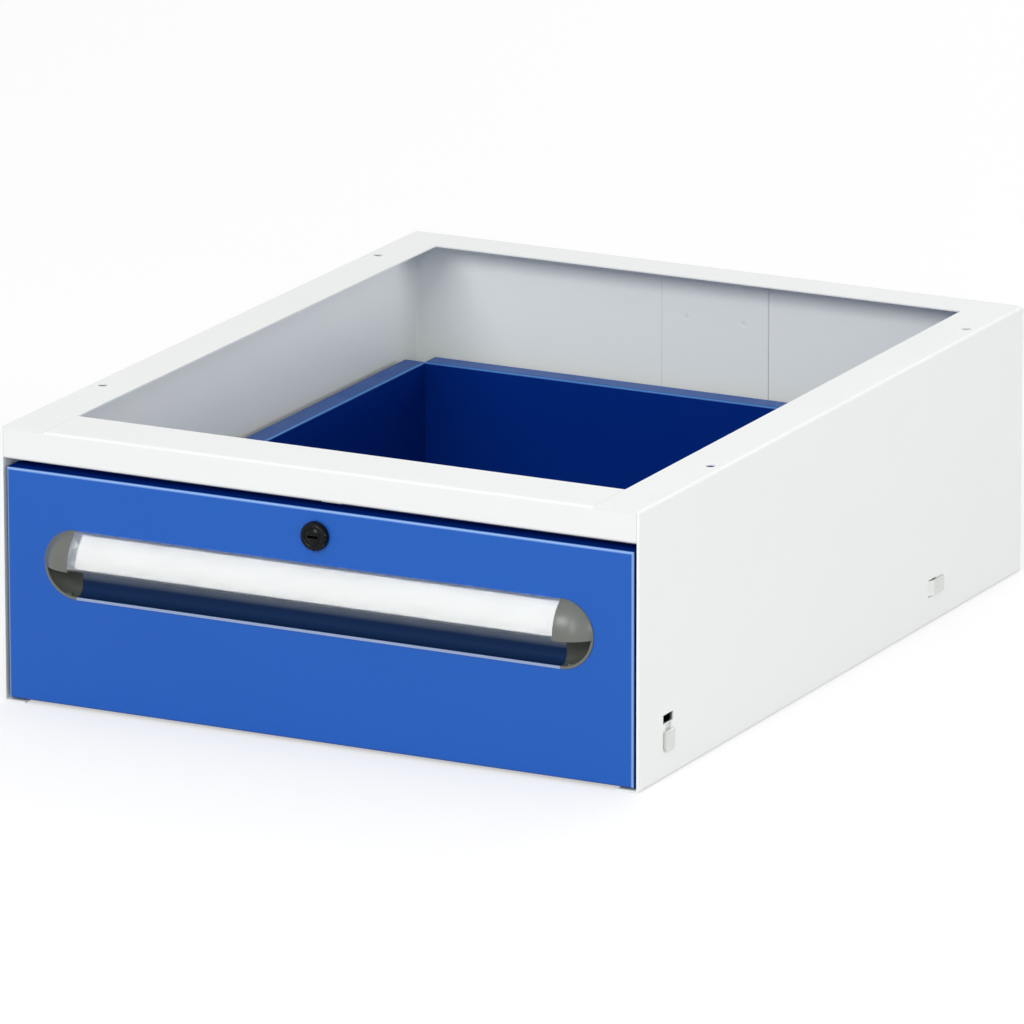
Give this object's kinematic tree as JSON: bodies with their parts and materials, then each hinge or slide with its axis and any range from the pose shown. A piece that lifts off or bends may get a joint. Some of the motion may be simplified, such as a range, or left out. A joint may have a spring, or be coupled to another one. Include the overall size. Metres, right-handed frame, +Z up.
{
  "type": "under-bench drawer unit",
  "caption": "Shallow folded-steel drawer unit that hangs under a bench: a lockable drawer with a full-width recessed handle and label holder, on ball-bearing runners in an open-topped case.",
  "frame": {"origin": "middle of the bounding box underside: X and Y halfway, Z at the bottom flanges", "axes": "+Z up, +Y from the drawer front to the back of the case, +X to the right seen from the front"},
  "size_m": [0.5036, 0.644, 0.2],
  "materials": {
    "case_paint": "smooth satin powder coat, light grey",
    "blue_paint": "smooth satin powder coat, blue",
    "zinc_steel": "bright zinc-plated steel",
    "ball_steel": "polished hardened steel",
    "grey_plastic": "fine matt moulded plastic, grey",
    "carrier_plastic": "extruded plastic, grey",
    "card": "plain white card",
    "clear_plastic": "clear glossy plastic",
    "black_lock": "satin black coated die casting",
    "black_rubber": "matt black rubber"
  },
  "bodies": {
    "case": {"back_joint_plate": "case_paint", "bracket_rivets": "zinc_steel", "case_left_half": "case_paint", "case_right_half": "case_paint", "front_rail": "case_paint", "rear_buffer_left": "black_rubber", "rear_buffer_right": "black_rubber", "runner_bracket_left": "zinc_steel", "runner_bracket_right": "zinc_steel", "runner_outer_left": "zinc_steel", "runner_outer_right": "zinc_steel"},
    "runner_middle_left": {"runner_middle_left": "zinc_steel"},
    "outer_cage_left": {"outer_ball_cage_left": "zinc_steel", "outer_balls_left": "ball_steel"},
    "inner_cage_left": {"inner_ball_cage_left": "zinc_steel", "inner_balls_left": "ball_steel"},
    "runner_middle_right": {"runner_middle_right": "zinc_steel"},
    "outer_cage_right": {"outer_ball_cage_right": "zinc_steel", "outer_balls_right": "ball_steel"},
    "inner_cage_right": {"inner_ball_cage_right": "zinc_steel", "inner_balls_right": "ball_steel"},
    "lock_plug": {"lock_plug": "black_lock"},
    "lock_bolt": {"lock_bolt": "zinc_steel"},
    "drawer": {"drawer_back": "blue_paint", "drawer_front_wall": "blue_paint", "drawer_tray": "blue_paint", "end_cap_left": "grey_plastic", "end_cap_right": "grey_plastic", "front_panel": "blue_paint", "front_wall_screws": "zinc_steel", "grip_channel": "blue_paint", "label_carrier": "carrier_plastic", "label_cover": "clear_plastic", "label_strip": "card", "lock_case": "zinc_steel", "lock_case_rivets": "zinc_steel", "lock_housing": "black_lock", "lock_nut": "zinc_steel", "runner_inner_left": "zinc_steel", "runner_inner_right": "zinc_steel", "runner_screws": "zinc_steel"}
  },
  "joints": [
    {"name": "drawer_slide", "type": "slide", "parent": "case", "child": "drawer", "axis": [0, -1, 0], "range_m": [0, 0.55]},
    {"name": "runner_middle_left_slide", "type": "slide", "parent": "case", "child": "runner_middle_left", "axis": [0, -1, 0], "range_m": [0, 0.275]},
    {"name": "outer_cage_left_slide", "type": "slide", "parent": "case", "child": "outer_cage_left", "axis": [0, -1, 0], "range_m": [0, 0.1375]},
    {"name": "inner_cage_left_slide", "type": "slide", "parent": "case", "child": "inner_cage_left", "axis": [0, -1, 0], "range_m": [0, 0.4125]},
    {"name": "runner_middle_right_slide", "type": "slide", "parent": "case", "child": "runner_middle_right", "axis": [0, -1, 0], "range_m": [0, 0.275]},
    {"name": "outer_cage_right_slide", "type": "slide", "parent": "case", "child": "outer_cage_right", "axis": [0, -1, 0], "range_m": [0, 0.1375]},
    {"name": "inner_cage_right_slide", "type": "slide", "parent": "case", "child": "inner_cage_right", "axis": [0, -1, 0], "range_m": [0, 0.4125]},
    {"name": "lock_plug_turn", "type": "hinge", "parent": "drawer", "child": "lock_plug", "pos_m": [0, -0.308, 0.152], "axis": [0, 1, 0], "range_deg": [0, 180]},
    {"name": "lock_bolt_slide", "type": "slide", "parent": "drawer", "child": "lock_bolt", "axis": [0, 0, 1], "range_m": [0, 0.012]}
  ],
  "couplings": [
    {"joint": "runner_middle_left_slide", "follows": "drawer_slide", "ratio": 0.5},
    {"joint": "outer_cage_left_slide", "follows": "drawer_slide", "ratio": 0.25},
    {"joint": "inner_cage_left_slide", "follows": "drawer_slide", "ratio": 0.75},
    {"joint": "runner_middle_right_slide", "follows": "drawer_slide", "ratio": 0.5},
    {"joint": "outer_cage_right_slide", "follows": "drawer_slide", "ratio": 0.25},
    {"joint": "inner_cage_right_slide", "follows": "drawer_slide", "ratio": 0.75},
    {"joint": "lock_bolt_slide", "follows": "lock_plug_turn", "m_per_rad": 0.0038197}
  ]
}
